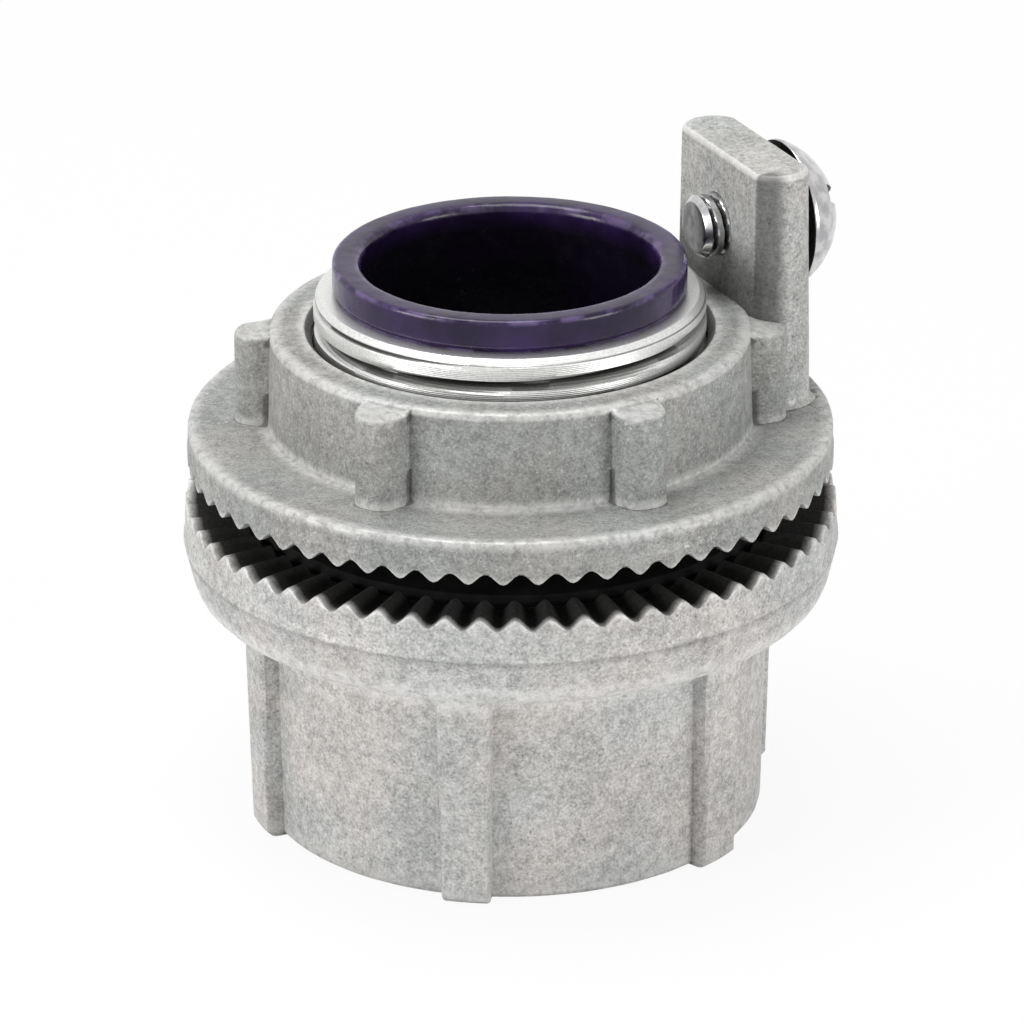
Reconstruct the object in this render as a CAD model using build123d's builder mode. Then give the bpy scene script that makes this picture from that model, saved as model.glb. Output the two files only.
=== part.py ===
from build123d import *
from math import cos, radians, sin, sqrt, tan
import os

# Insulated conduit hub with a ground post, 1 inch trade size, in millimetres.
# The hub's axis is Z, the origin is the centre of its bottom face and the front looks along -Y.

# Hub body: the round casting below the enclosure wall
body_radius = 21.8          # round body between its ribs, at the bottom face
body_flare = 0.4            # how much wider the body is where it meets the flange
body_height = 18.9          # bottom face to the underside of the flange
rib_count = 6
rib_rise = 1.5              # how far a rib stands out from the body
rib_width = 4.1
rib_flare = 0.5             # how much wider a rib is at its top
rib_angle = 20.0            # first rib, counted from +X
bottom_edge_bevel = 0.5

# Hub flange with radial serrations that bite into the enclosure wall
flange_radius = 28.2
flange_thickness = 9.6      # underside at the body to the tips of the teeth
shoulder_rise = 1.7         # how far the underside climbs from the body to the rim
shoulder_round = 1.6
flange_draft = 0.25         # the rim narrows by this much from its mould line upwards
mould_line_drop = 3.6       # tips of the teeth down to the mould line
tooth_count = 60
tooth_depth = 1.0
tooth_crest = 0.12          # flat part of a tooth's tip, and of the gap's floor, as a share of the pitch
hub_tooth_angle = 3.7       # first gap between teeth, counted from +X
nut_tooth_angle = 1.65

# Spigot that goes through the enclosure wall
thread_radius = 16.7        # over the crests of the 1 inch straight pipe thread
spigot_height = 18.4        # tips of the hub's teeth to the spigot's end
spigot_bevel = 0.55

# Inside of the hub
socket_radius = 15.15       # inside the crests of the socket's conduit thread
socket_depth = 18.5
socket_bevel = 1.4
socket_cone = 1.0           # slope of the conduit's stop, where the socket narrows
passage_radius = 13.3

# Sealing ring and its groove in the flange
groove_depth = 1.3          # below the gaps between the teeth
groove_width = 6.1
groove_land = 0.65          # flat ledge between the groove and the teeth
ring_clearance = 0.3
ring_thickness = 2.0
ring_bevel = 0.5

# Insulating throat in the spigot's end
throat_radius = 12.6
throat_wall = 1.6
throat_length = 15.0        # tube below the spigot's end
throat_clearance = 0.05
lip_height = 2.9
lip_radius = 15.1
lip_bell = 0.9              # reach of the double bevel at the mouth
lip_bevel = 0.35

# Lock nut
wall_gap = 3.0              # between the two rings of teeth as the nut stands now
nut_radius = 27.7
nut_flange_thickness = 3.8  # tips of the teeth to the top of the flange
nut_edge_bevel = 0.35
thread_clearance = 0.15
nut_bevel = 0.7
ring_wall = 3.95            # nut's raised ring, bore to outside
ring_height = 8.4           # above the nut's flange
ring_draft = 0.3
ring_edge_bevel = 0.4
lug_count = 6
lug_rise = 2.7              # how far a lug stands out from the raised ring
lug_width = 4.5
lug_corner = 1.3
lug_drop = 0.3              # lug tops below the ring's top
lug_edge_bevel = 0.5

# Ground post, cast on the nut
post_angle = 25.0           # counted from +X
post_overlap = 1.1          # the post's inner face stands this far inside the raised ring's outside
post_thickness = 5.1
post_width = 17.0
post_height = 21.0          # above the nut's flange
post_flare = 0.35           # how much each side spreads down to the flange
post_edge_bevel = 0.35

# Ground screw, number 12
screw_radius = 2.72
screw_clearance = 0.05
screw_drop = 6.7            # post's top down to the screw's axis
screw_reach = 2.3           # how far the tip stands out of the post's inner face
screw_gap = 0.7             # under the head, not yet driven home
screw_bevel = 0.5
head_radius = 6.35
head_height = 4.4
head_edge = 0.4             # thickness at the head's rim
dome_bevels = 5             # straight steps that make the head's dome
slot_width = 1.6
slot_depth = 2.0
slot_angle = 146.0          # about the screw's axis

# Levels and radii that follow from the sizes above
tooth_tip_z = body_height + flange_thickness
tooth_root_z = tooth_tip_z - tooth_depth
rim_bottom_z = body_height + shoulder_rise
mould_line_z = tooth_tip_z - mould_line_drop
groove_floor_z = tooth_root_z - groove_depth
spigot_top_z = tooth_tip_z + spigot_height
groove_radius = thread_radius + groove_width
band_inner_radius = groove_radius + groove_land
body_top_radius = body_radius + body_flare
throat_seat_radius = throat_radius + throat_wall + throat_clearance
throat_seat_z = spigot_top_z - throat_length - throat_clearance

nut_tip_z = tooth_tip_z + wall_gap
nut_root_z = nut_tip_z + tooth_depth
nut_top_z = nut_tip_z + nut_flange_thickness
nut_bore_radius = thread_radius + thread_clearance
nut_ring_radius = nut_bore_radius + ring_wall
nut_ring_top_z = nut_top_z + ring_height
post_distance = nut_ring_radius - post_overlap
post_top_z = nut_top_z + post_height
post_middle = post_distance + post_thickness / 2
screw_z = post_top_z - screw_drop
screw_tip = post_distance - screw_reach
screw_seat = post_distance + post_thickness + screw_gap
post_direction = (cos(radians(post_angle)), sin(radians(post_angle)), 0)

overcut = 1.0               # how far cutters run past the faces that they cut


def radial_plane(distance, height, direction=(1, 0, 0)):
    """Upright plane at a distance from the hub's axis, facing outwards, with its Y upwards."""
    across = (-direction[1], direction[0], 0)
    origin = (distance * direction[0], distance * direction[1], height)
    return Plane(origin=origin, x_dir=across, z_dir=direction)


def tooth_gap(inner_radius, outer_radius, tip_z, opens):
    """One gap between two teeth, drawn to a point on the axis; opens is 1 upwards and -1 downwards."""
    with BuildPart() as gap:
        for radius in (inner_radius, outer_radius):
            half_pitch = radius * tan(radians(180 / tooth_count))
            mouth = half_pitch * (1 - tooth_crest)
            floor = half_pitch * tooth_crest
            depth = -opens * tooth_depth * radius / flange_radius
            top = opens * overcut
            with BuildSketch(radial_plane(radius, tip_z)):
                Polygon(
                    (-mouth, top),
                    (-mouth, 0),
                    (-floor, depth),
                    (floor, depth),
                    (mouth, 0),
                    (mouth, top),
                    align=None,
                )
        loft(ruled=True)
    return gap.part


hub_gap = tooth_gap(band_inner_radius - overcut, flange_radius + overcut, tooth_tip_z, 1)
nut_gap = tooth_gap(band_inner_radius - overcut, nut_radius + overcut, nut_tip_z, -1)


# Wrench ribs of the hub body, wider and further out at their tops: tapered bars, cut to a cone
with BuildPart() as rib_bar:
    top_half = (rib_width + rib_flare) / 2
    with BuildSketch(Plane.YZ):
        Polygon(
            (-rib_width / 2, 0),
            (rib_width / 2, 0),
            (top_half, rim_bottom_z),
            (-top_half, rim_bottom_z),
            align=None,
        )
    extrude(amount=flange_radius)

with BuildPart() as ribs:
    with PolarLocations(0, rib_count, start_angle=rib_angle):
        add(rib_bar.part)
    with BuildSketch(Plane.XZ):
        rib_root = body_radius - rib_rise
        Polygon(
            (rib_root, 0),
            (body_radius + rib_rise - bottom_edge_bevel, 0),
            (body_radius + rib_rise, bottom_edge_bevel),
            (body_top_radius + rib_rise, rim_bottom_z),
            (rib_root, rim_bottom_z),
            align=None,
        )
    revolve(axis=Axis.Z, mode=Mode.INTERSECT)


# Hub body: one die casting, from the conduit socket to the spigot's end
with BuildPart() as hub_body:
    with BuildSketch(Plane.XZ):
        with BuildLine():
            rim_foot = flange_radius - shoulder_round
            Polyline(
                (socket_radius + socket_bevel, 0),
                (body_radius - bottom_edge_bevel, 0),
                (body_radius, bottom_edge_bevel),
                (body_top_radius, body_height),
                (rim_foot, rim_bottom_z),
            )
            rim_round = TangentArc(
                (rim_foot, rim_bottom_z),
                (flange_radius, rim_bottom_z + shoulder_round),
                tangent=(1, 0),
            )
            Polyline(
                rim_round @ 1,
                (flange_radius, mould_line_z),
                (flange_radius - flange_draft, tooth_tip_z),
                (band_inner_radius, tooth_tip_z),
                (band_inner_radius, tooth_root_z),
                (groove_radius, tooth_root_z),
                (groove_radius, groove_floor_z),
                (thread_radius, groove_floor_z),
                (thread_radius, spigot_top_z - spigot_bevel),
                (thread_radius - spigot_bevel, spigot_top_z),
                (throat_seat_radius, spigot_top_z),
                (throat_seat_radius, throat_seat_z),
                (passage_radius, throat_seat_z),
                (passage_radius, socket_depth + socket_cone),
                (socket_radius, socket_depth),
                (socket_radius, socket_bevel),
                (socket_radius + socket_bevel, 0),
            )
        make_face()
    revolve(axis=Axis.Z)
    add(ribs.part)
    with PolarLocations(0, tooth_count, start_angle=hub_tooth_angle):
        add(hub_gap, mode=Mode.SUBTRACT)
hub_body.part.label = "hub_body"


# Sealing ring: black rubber, loose in the flange's groove
with BuildPart() as sealing_ring:
    ring_inner = thread_radius + ring_clearance
    ring_outer = groove_radius - ring_clearance
    with BuildSketch(Plane.XZ):
        with Locations(((ring_inner + ring_outer) / 2, groove_floor_z + ring_thickness / 2)):
            section = Rectangle(ring_outer - ring_inner, ring_thickness)
            chamfer(section.vertices(), ring_bevel)
    revolve(axis=Axis.Z)
sealing_ring.part.label = "sealing_ring"


# Insulating throat: moulded plastic, its tube inside the spigot and its lip on the spigot's end
with BuildPart() as insulating_throat:
    tube_radius = throat_radius + throat_wall
    bell_middle = lip_bell * (1 - sqrt(0.5))
    lip_top_z = spigot_top_z + lip_height
    with BuildSketch(Plane.XZ):
        with BuildLine():
            Polyline(
                (throat_radius, lip_top_z - lip_bell),
                (throat_radius, spigot_top_z - throat_length),
                (tube_radius, spigot_top_z - throat_length),
                (tube_radius, spigot_top_z),
                (lip_radius, spigot_top_z),
                (lip_radius, lip_top_z - lip_bevel),
                (lip_radius - lip_bevel, lip_top_z),
                (throat_radius + lip_bell, lip_top_z),
                (throat_radius + bell_middle, lip_top_z - bell_middle),
                (throat_radius, lip_top_z - lip_bell),
            )
        make_face()
    revolve(axis=Axis.Z)
insulating_throat.part.label = "insulating_throat"


# Lock nut: one die casting, with its serrated flange, its ring of wrench lugs and the ground post
with BuildPart() as lug:
    with BuildSketch(Plane.XY.offset(nut_root_z)):
        with BuildLine():
            reach = nut_ring_radius + lug_rise
            half = lug_width / 2
            root = nut_bore_radius + ring_wall / 2
            Polyline((reach - lug_corner, -half), (root, -half), (root, half), (reach - lug_corner, half))
            TangentArc((reach - lug_corner, half), (reach, half - lug_corner), tangent=(1, 0))
            Line((reach, half - lug_corner), (reach, lug_corner - half))
            TangentArc((reach, lug_corner - half), (reach - lug_corner, -half), tangent=(0, -1))
        make_face()
    extrude(amount=nut_ring_top_z - lug_drop - nut_root_z)
    lug_top = lug.faces().sort_by(Axis.Z)[-1]
    chamfer(lug_top.edges(), lug_edge_bevel)

with BuildPart() as post:
    post_levels = ((nut_root_z, post_flare), (post_top_z, 0))
    for height, spread in post_levels:
        with BuildSketch(Plane.XY.offset(height)):
            with Locations((post_middle, 0)):
                slot_shape = SlotOverall(post_width + 2 * spread, post_thickness + 2 * spread, rotation=90)
    loft(ruled=True)
    chamfer(post.faces().sort_by(Axis.Z)[-1].edges(), post_edge_bevel)

with BuildPart() as lock_nut:
    with BuildSketch(Plane.XZ):
        with BuildLine():
            ring_top_radius = nut_ring_radius - ring_draft
            Polyline(
                (nut_bore_radius + nut_bevel, nut_root_z),
                (band_inner_radius, nut_root_z),
                (band_inner_radius, nut_tip_z),
                (nut_radius, nut_tip_z),
                (nut_radius, nut_top_z - nut_edge_bevel),
                (nut_radius - nut_edge_bevel, nut_top_z),
                (nut_ring_radius, nut_top_z),
                (ring_top_radius, nut_ring_top_z - ring_edge_bevel),
                (ring_top_radius - ring_edge_bevel, nut_ring_top_z),
                (nut_bore_radius + nut_bevel, nut_ring_top_z),
                (nut_bore_radius, nut_ring_top_z - nut_bevel),
                (nut_bore_radius, nut_root_z + nut_bevel),
                (nut_bore_radius + nut_bevel, nut_root_z),
            )
        make_face()
    revolve(axis=Axis.Z)
    with PolarLocations(0, lug_count):
        add(lug.part)
    with PolarLocations(0, 1, start_angle=post_angle):
        add(post.part)
    with BuildSketch(radial_plane(post_distance - overcut, screw_z, post_direction)):
        Circle(screw_radius + screw_clearance)
    extrude(amount=post_thickness + 2 * overcut, mode=Mode.SUBTRACT)
    with PolarLocations(0, tooth_count, start_angle=nut_tooth_angle):
        add(nut_gap, mode=Mode.SUBTRACT)
lock_nut.part.label = "lock_nut"


# Ground screw: plated steel, slotted domed head, through the ground post
with BuildPart() as ground_screw:
    with BuildSketch(radial_plane(screw_tip, screw_z, post_direction)):
        Circle(screw_radius)
    extrude(amount=screw_seat - screw_tip + head_edge)
    tip_face = ground_screw.faces().sort_by(Axis((0, 0, 0), post_direction))[0]
    chamfer(tip_face.edges(), screw_bevel)
    head_plane = radial_plane(screw_seat, screw_z, post_direction)
    screw_axis = Axis(head_plane.origin, head_plane.z_dir)
    with BuildSketch(Plane(origin=head_plane.origin, x_dir=(0, 0, 1), z_dir=head_plane.x_dir)):
        with BuildLine():
            dome = ThreePointArc(
                (head_radius, head_edge),
                (head_radius * 0.59, head_edge + (head_height - head_edge) * 0.73),
                (0, head_height),
                mode=Mode.PRIVATE,
            )
            Polyline((0, head_height), (0, 0), (head_radius, 0), (head_radius, head_edge))
            Polyline([dome @ (step / dome_bevels) for step in range(dome_bevels + 1)])
        make_face()
    revolve(axis=screw_axis)
    slot_floor = screw_seat + head_height - slot_depth
    with BuildSketch(radial_plane(slot_floor, screw_z, post_direction)):
        Rectangle(2 * (head_radius + overcut), slot_width, rotation=slot_angle)
    extrude(amount=slot_depth + overcut, mode=Mode.SUBTRACT)
ground_screw.part.label = "ground_screw"


os.makedirs("parts", exist_ok=True)
export_step(hub_body.part, "parts/hub_body.step")
export_step(sealing_ring.part, "parts/sealing_ring.step")
export_step(insulating_throat.part, "parts/insulating_throat.step")
export_step(lock_nut.part, "parts/lock_nut.step")
export_step(ground_screw.part, "parts/ground_screw.step")
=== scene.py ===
import math

import bpy
from mathutils import Matrix, Quaternion, Vector


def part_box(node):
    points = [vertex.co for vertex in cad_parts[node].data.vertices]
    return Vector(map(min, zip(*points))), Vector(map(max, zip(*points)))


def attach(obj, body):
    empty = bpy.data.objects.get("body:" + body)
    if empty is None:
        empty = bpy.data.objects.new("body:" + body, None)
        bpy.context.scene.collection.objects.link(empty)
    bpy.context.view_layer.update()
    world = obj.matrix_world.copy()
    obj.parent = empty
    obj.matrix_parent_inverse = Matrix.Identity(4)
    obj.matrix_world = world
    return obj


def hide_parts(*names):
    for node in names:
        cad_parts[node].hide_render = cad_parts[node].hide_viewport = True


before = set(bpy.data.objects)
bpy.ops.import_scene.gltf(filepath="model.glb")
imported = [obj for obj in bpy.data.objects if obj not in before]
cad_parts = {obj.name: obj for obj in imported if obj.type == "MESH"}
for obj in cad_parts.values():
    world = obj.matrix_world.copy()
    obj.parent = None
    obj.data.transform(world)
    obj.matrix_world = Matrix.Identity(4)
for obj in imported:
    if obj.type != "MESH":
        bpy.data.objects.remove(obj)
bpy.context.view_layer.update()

# Studio: a pale table under soft boxes, seen from the front and a little above through a long lens.
# The table and the sky stay white to the camera and in reflections, and the light itself is plain.
eye = Vector((0.0, -0.5, 0.2407))
looked_at = Vector((0.0001, 0.0, 0.02627))
sensor_width = 36.0
focal_pixels = 6319.0
frame_pixels = 1024.0
camera_roll = math.radians(-0.25)

camera_data = bpy.data.cameras.new("camera")
camera_data.sensor_width = sensor_width
camera_data.lens = sensor_width * focal_pixels / frame_pixels
camera_data.clip_start = 0.01
camera_data.clip_end = 20.0
camera = bpy.data.objects.new("camera", camera_data)
bpy.context.scene.collection.objects.link(camera)
camera.location = eye
towards = (looked_at - eye).to_track_quat("-Z", "Y")
camera.rotation_mode = "QUATERNION"
camera.rotation_quaternion = towards @ Quaternion((0.0, 0.0, 1.0), camera_roll)
bpy.context.scene.camera = camera
bpy.context.scene.view_settings.view_transform = "Standard"


def add_node(tree, kind, **settings):
    """A new node of a tree, with its properties set."""
    made = tree.nodes.new(kind)
    for name, value in settings.items():
        setattr(made, name, value)
    return made


def feed(tree, socket, value):
    """Sets a socket to a number or joins another socket to it."""
    if isinstance(value, bpy.types.NodeSocket):
        tree.links.new(value, socket)
    elif value is not None:
        socket.default_value = value


def math_of(tree, operation, *values):
    """A sum on numbers in a shader or geometry tree; its result as a socket."""
    made = add_node(tree, "ShaderNodeMath", operation=operation)
    for socket, value in zip(made.inputs, values):
        feed(tree, socket, value)
    return made.outputs[0]


def ramp_between(tree, value, low, high, out_low=0.0, out_high=1.0):
    """A soft step from one number to another while value runs from low to high."""
    made = add_node(tree, "ShaderNodeMapRange", interpolation_type="SMOOTHSTEP")
    for name, number in (("Value", value), ("From Min", low), ("From Max", high)):
        feed(tree, made.inputs[name], number)
    feed(tree, made.inputs["To Min"], out_low)
    feed(tree, made.inputs["To Max"], out_high)
    return made.outputs["Result"]


def white_to_the_eye(tree):
    """1 for rays that the camera, a mirror or a glass sends out, and 0 for rays that carry light."""
    path = add_node(tree, "ShaderNodeLightPath")
    seen = math_of(tree, "MAXIMUM", path.outputs["Is Camera Ray"], path.outputs["Is Glossy Ray"])
    return math_of(tree, "MAXIMUM", seen, path.outputs["Is Transmission Ray"])


world = bpy.data.worlds.new("sky")
bpy.context.scene.world = world
world.use_nodes = True
sky = world.node_tree
background = sky.nodes["Background"]
background.inputs["Color"].default_value = (1.0, 1.0, 1.0, 1.0)
sky_light = 0.16
table_glow = 0.92
seen_sky = ramp_between(sky, white_to_the_eye(sky), 0.0, 1.0, sky_light, 1.0)
sky.links.new(seen_sky, background.inputs["Strength"])

table_half = 1.5
table_mesh = bpy.data.meshes.new("table")
table_corners = [(-table_half, -table_half, 0), (table_half, -table_half, 0)]
table_corners += [(table_half, table_half, 0), (-table_half, table_half, 0)]
table_mesh.from_pydata(table_corners, [], [(0, 1, 2, 3)])
table = bpy.data.objects.new("table", table_mesh)
bpy.context.scene.collection.objects.link(table)
table_white = bpy.data.materials.new("table_white")
table_white.use_nodes = True
paint = table_white.node_tree
paint_body = paint.nodes["Principled BSDF"]
paint_body.inputs["Base Color"].default_value = (0.86, 0.86, 0.86, 1.0)
paint_body.inputs["Roughness"].default_value = 0.9
glow = add_node(paint, "ShaderNodeEmission")
glow.inputs["Color"].default_value = (1.0, 1.0, 1.0, 1.0)
glow_share = add_node(paint, "ShaderNodeMixShader")
feed(paint, glow_share.inputs[0], math_of(paint, "MULTIPLY", white_to_the_eye(paint), table_glow))
paint.links.new(paint_body.outputs[0], glow_share.inputs[1])
paint.links.new(glow.outputs[0], glow_share.inputs[2])
paint.links.new(glow_share.outputs[0], paint.nodes["Material Output"].inputs["Surface"])
table_mesh.materials.append(table_white)


def soft_box(name, place, side, power):
    """A square lamp that faces the part."""
    lamp = bpy.data.lights.new(name, "AREA")
    lamp.shape = "SQUARE"
    lamp.size = side
    lamp.energy = power
    box = bpy.data.objects.new(name, lamp)
    box.location = place
    aim = (Vector((0.0, 0.0, 0.03)) - Vector(place)).to_track_quat("-Z", "Y")
    box.rotation_mode = "QUATERNION"
    box.rotation_quaternion = aim
    bpy.context.scene.collection.objects.link(box)


soft_box("top_box", (-0.12, 0.05, 0.8), 0.5, 5.6)
soft_box("left_box", (-0.62, -0.34, 0.2), 0.3, 2.7)
soft_box("right_box", (0.62, -0.4, 0.14), 0.3, 2.5)


# Castings: zinc alloy, cast in dies with soft edges and a mottled grey skin with fine pits.
# One rule makes each round piece: an outline turned about the axis, then teeth, ribs and threads.
MM = 0.001
inch = 25.4
pipe_pitch = inch / 11.5
tooth_count = 60
tooth_depth = 1.0
columns_a_tooth = 9
cast_columns = tooth_count * columns_a_tooth


def turning_rule():
    """Tree that turns an outline's points about Z and adds teeth, ribs or lugs, threads and skin."""
    tree = bpy.data.node_groups.new("turned_piece", "GeometryNodeTree")
    tree.interface.new_socket("Outline", in_out="INPUT", socket_type="NodeSocketGeometry")
    numbers = {
        "Columns": 64,
        "Rows": 32,
        "Teeth": 0.0,
        "Tooth Depth": 0.0,
        "Tooth Turn": 0.0,
        "Thread Pitch": 1.0,
        "Thread Depth": 0.0,
        "Thread Turn": 0.0,
        "Ribs": 1.0,
        "Rib Turn": 0.0,
        "Rib Corner": 0.001,
        "Skin Height": 0.0,
        "Skin Scale": 100.0,
    }
    for name, value in numbers.items():
        kind = "NodeSocketInt" if isinstance(value, int) else "NodeSocketFloat"
        tree.interface.new_socket(name, in_out="INPUT", socket_type=kind).default_value = value
    tree.interface.new_socket("Finish", in_out="INPUT", socket_type="NodeSocketMaterial")
    tree.interface.new_socket("Piece", in_out="OUTPUT", socket_type="NodeSocketGeometry")
    given = add_node(tree, "NodeGroupInput").outputs
    result = add_node(tree, "NodeGroupOutput")

    def number(operation, *values):
        return math_of(tree, operation, *values)

    # A unit grid gives each point its column round the axis and its row along the outline
    grid = add_node(tree, "GeometryNodeMeshGrid")
    grid.inputs["Size X"].default_value = 1.0
    grid.inputs["Size Y"].default_value = 1.0
    tree.links.new(number("ADD", given["Columns"], 1.0), grid.inputs["Vertices X"])
    tree.links.new(number("ADD", given["Rows"], 1.0), grid.inputs["Vertices Y"])
    spot = add_node(tree, "ShaderNodeSeparateXYZ")
    tree.links.new(add_node(tree, "GeometryNodeInputPosition").outputs[0], spot.inputs[0])
    share = number("ADD", spot.outputs["X"], 0.5)
    angle = number("MULTIPLY", share, 2.0 * math.pi)
    row_share = number("MULTIPLY", number("ADD", spot.outputs["Y"], 0.5), given["Rows"])
    row = number("FLOORED_MODULO", number("ROUND", row_share), given["Rows"])

    def along_outline(attribute, data_type="FLOAT"):
        """What the outline holds at this row."""
        if attribute == "position":
            held = add_node(tree, "GeometryNodeInputPosition").outputs[0]
        else:
            named = add_node(tree, "GeometryNodeInputNamedAttribute", data_type=data_type)
            named.inputs["Name"].default_value = attribute
            held = named.outputs[0]
        sample = add_node(tree, "GeometryNodeSampleIndex", data_type=data_type, domain="POINT")
        tree.links.new(given["Outline"], sample.inputs["Geometry"])
        tree.links.new(held, sample.inputs["Value"])
        tree.links.new(row, sample.inputs["Index"])
        return sample.outputs["Value"]

    place = add_node(tree, "ShaderNodeSeparateXYZ")
    tree.links.new(along_outline("position", "FLOAT_VECTOR"), place.inputs[0])
    radius = place.outputs["X"]
    height = place.outputs["Z"]

    # Teeth: a rounded zigzag round the rim that lowers or lifts the outline's points
    from_tooth = number("SUBTRACT", angle, given["Tooth Turn"])
    tooth_wave = number("COSINE", number("MULTIPLY", from_tooth, given["Teeth"]))
    gap = number("MULTIPLY", number("SUBTRACT", 1.0, tooth_wave), 0.5)
    drop = number("MULTIPLY", number("MULTIPLY", gap, given["Tooth Depth"]), along_outline("tooth"))
    height = number("SUBTRACT", height, drop)

    # Ribs or lugs: near a rib's middle the wall stands out to the reach that its row states.
    # The columns beside the rib's flank move onto it, so that the flank is steep and its foot sharp.
    sector = number("DIVIDE", 2.0 * math.pi, given["Ribs"])
    half_sector = number("MULTIPLY", sector, 0.5)
    turned = number("ADD", number("SUBTRACT", angle, given["Rib Turn"]), half_sector)
    off_middle = number("SUBTRACT", number("FLOORED_MODULO", turned, sector), half_sector)
    reach = along_outline("reach")
    half_width = along_outline("rib_half")
    has_rib = number("GREATER_THAN", reach, 0.0)
    foot_angle = number("DIVIDE", half_width, along_outline("rib_foot"))
    face_angle = number("DIVIDE", half_width, number("SUBTRACT", reach, given["Rib Corner"]))
    column = number("DIVIDE", 2.0 * math.pi, given["Columns"])
    off = number("ABSOLUTE", off_middle)
    past_foot = number("DIVIDE", number("SUBTRACT", off, foot_angle), column)

    def rib_column(low, high):
        """1 on a rib's columns between two counts past its foot, and 0 elsewhere."""
        above = number("GREATER_THAN", past_foot, low)
        between = number("MULTIPLY", above, number("LESS_THAN", past_foot, high))
        return number("MULTIPLY", between, has_rib)

    on_foot = rib_column(0.0, 1.0)
    on_flank = rib_column(-1.0, 0.0)
    moved = number("ADD", number("MULTIPLY", on_foot, number("SUBTRACT", foot_angle, off)),
                   number("MULTIPLY", on_flank, number("SUBTRACT", face_angle, off)))
    off = number("ADD", off, moved)
    angle = number("ADD", angle, number("MULTIPLY", number("SIGN", off_middle), moved))
    inside = number("MULTIPLY", number("LESS_THAN", past_foot, 0.0), has_rib)
    flat_half = number("SUBTRACT", half_width, given["Rib Corner"])
    into_corner = number("SUBTRACT", number("MULTIPLY", off, reach), flat_half)
    bend = number("MINIMUM", number("MAXIMUM", number("DIVIDE", into_corner, given["Rib Corner"]), 0.0), 1.0)
    fall = number("SUBTRACT", 1.0, number("SQRT", number("SUBTRACT", 1.0, number("MULTIPLY", bend, bend))))
    rib_face = number("SUBTRACT", reach, number("MULTIPLY", fall, given["Rib Corner"]))
    stand_out = number("MAXIMUM", number("SUBTRACT", rib_face, radius), 0.0)
    radius = number("ADD", radius, number("MULTIPLY", inside, stand_out))

    # Threads: a right-hand groove between flat crests, cut inwards or outwards by the sign of its mark
    turns = number("SUBTRACT", number("DIVIDE", height, given["Thread Pitch"]), share)
    phase = number("FRACT", number("ADD", number("SUBTRACT", turns, given["Thread Turn"]), 100.0))
    from_crest = number("ABSOLUTE", number("SUBTRACT", number("MULTIPLY", phase, 2.0), 1.0))
    groove = ramp_between(tree, from_crest, 0.5, 0.98)
    thread = along_outline("thread")
    cut = number("MULTIPLY", number("MULTIPLY", groove, given["Thread Depth"]), thread)
    radius = number("ADD", radius, cut)

    spread = add_node(tree, "ShaderNodeCombineXYZ")
    tree.links.new(number("MULTIPLY", radius, number("COSINE", angle)), spread.inputs["X"])
    tree.links.new(number("MULTIPLY", radius, number("SINE", angle)), spread.inputs["Y"])
    tree.links.new(height, spread.inputs["Z"])
    # Painted shade in the thread's groove, kept with the other painted shade marks
    groove_shade_strength = 0.9
    groove_painted_shade = number("MULTIPLY", number("MULTIPLY", groove, number("ABSOLUTE", thread)), groove_shade_strength)
    marks = {mark: along_outline(mark) for mark in ("machined", "skin", "painted_edge_highlight")}
    marks["painted_shade"] = number("MAXIMUM", along_outline("painted_shade"), groove_painted_shade)
    marked = grid.outputs["Mesh"]
    for mark, value in marks.items():
        kept = add_node(tree, "GeometryNodeStoreNamedAttribute", data_type="FLOAT", domain="POINT")
        kept.inputs["Name"].default_value = mark
        tree.links.new(marked, kept.inputs["Geometry"])
        tree.links.new(value, kept.inputs["Value"])
        marked = kept.outputs["Geometry"]
    turned_grid = add_node(tree, "GeometryNodeSetPosition")
    tree.links.new(marked, turned_grid.inputs["Geometry"])
    tree.links.new(spread.outputs[0], turned_grid.inputs["Position"])
    closed = add_node(tree, "GeometryNodeMergeByDistance")
    closed.inputs["Distance"].default_value = 0.002 * MM
    tree.links.new(turned_grid.outputs["Geometry"], closed.inputs["Geometry"])

    # Skin: the slight waves that a die leaves on a casting, always inwards
    waves = add_node(tree, "ShaderNodeTexNoise")
    tree.links.new(given["Skin Scale"], waves.inputs["Scale"])
    waves.inputs["Detail"].default_value = 2.0
    skin_mark = add_node(tree, "GeometryNodeInputNamedAttribute", data_type="FLOAT")
    skin_mark.inputs["Name"].default_value = "skin"
    sunk = number("MULTIPLY", waves.outputs[0], given["Skin Height"])
    sunk = number("MULTIPLY", sunk, skin_mark.outputs[0])
    inwards = add_node(tree, "ShaderNodeVectorMath", operation="SCALE")
    tree.links.new(add_node(tree, "GeometryNodeInputNormal").outputs[0], inwards.inputs[0])
    tree.links.new(number("MULTIPLY", sunk, -1.0), inwards.inputs["Scale"])
    skinned = add_node(tree, "GeometryNodeSetPosition")
    tree.links.new(closed.outputs["Geometry"], skinned.inputs["Geometry"])
    tree.links.new(inwards.outputs[0], skinned.inputs["Offset"])

    whole = add_node(tree, "GeometryNodeRealizeInstances")
    tree.links.new(skinned.outputs["Geometry"], whole.inputs[0])
    finished = add_node(tree, "GeometryNodeSetMaterial")
    tree.links.new(whole.outputs[0], finished.inputs["Geometry"])
    tree.links.new(given["Finish"], finished.inputs["Material"])
    tree.links.new(finished.outputs[0], result.inputs[0])
    return tree


turned_piece = turning_rule()


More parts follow.
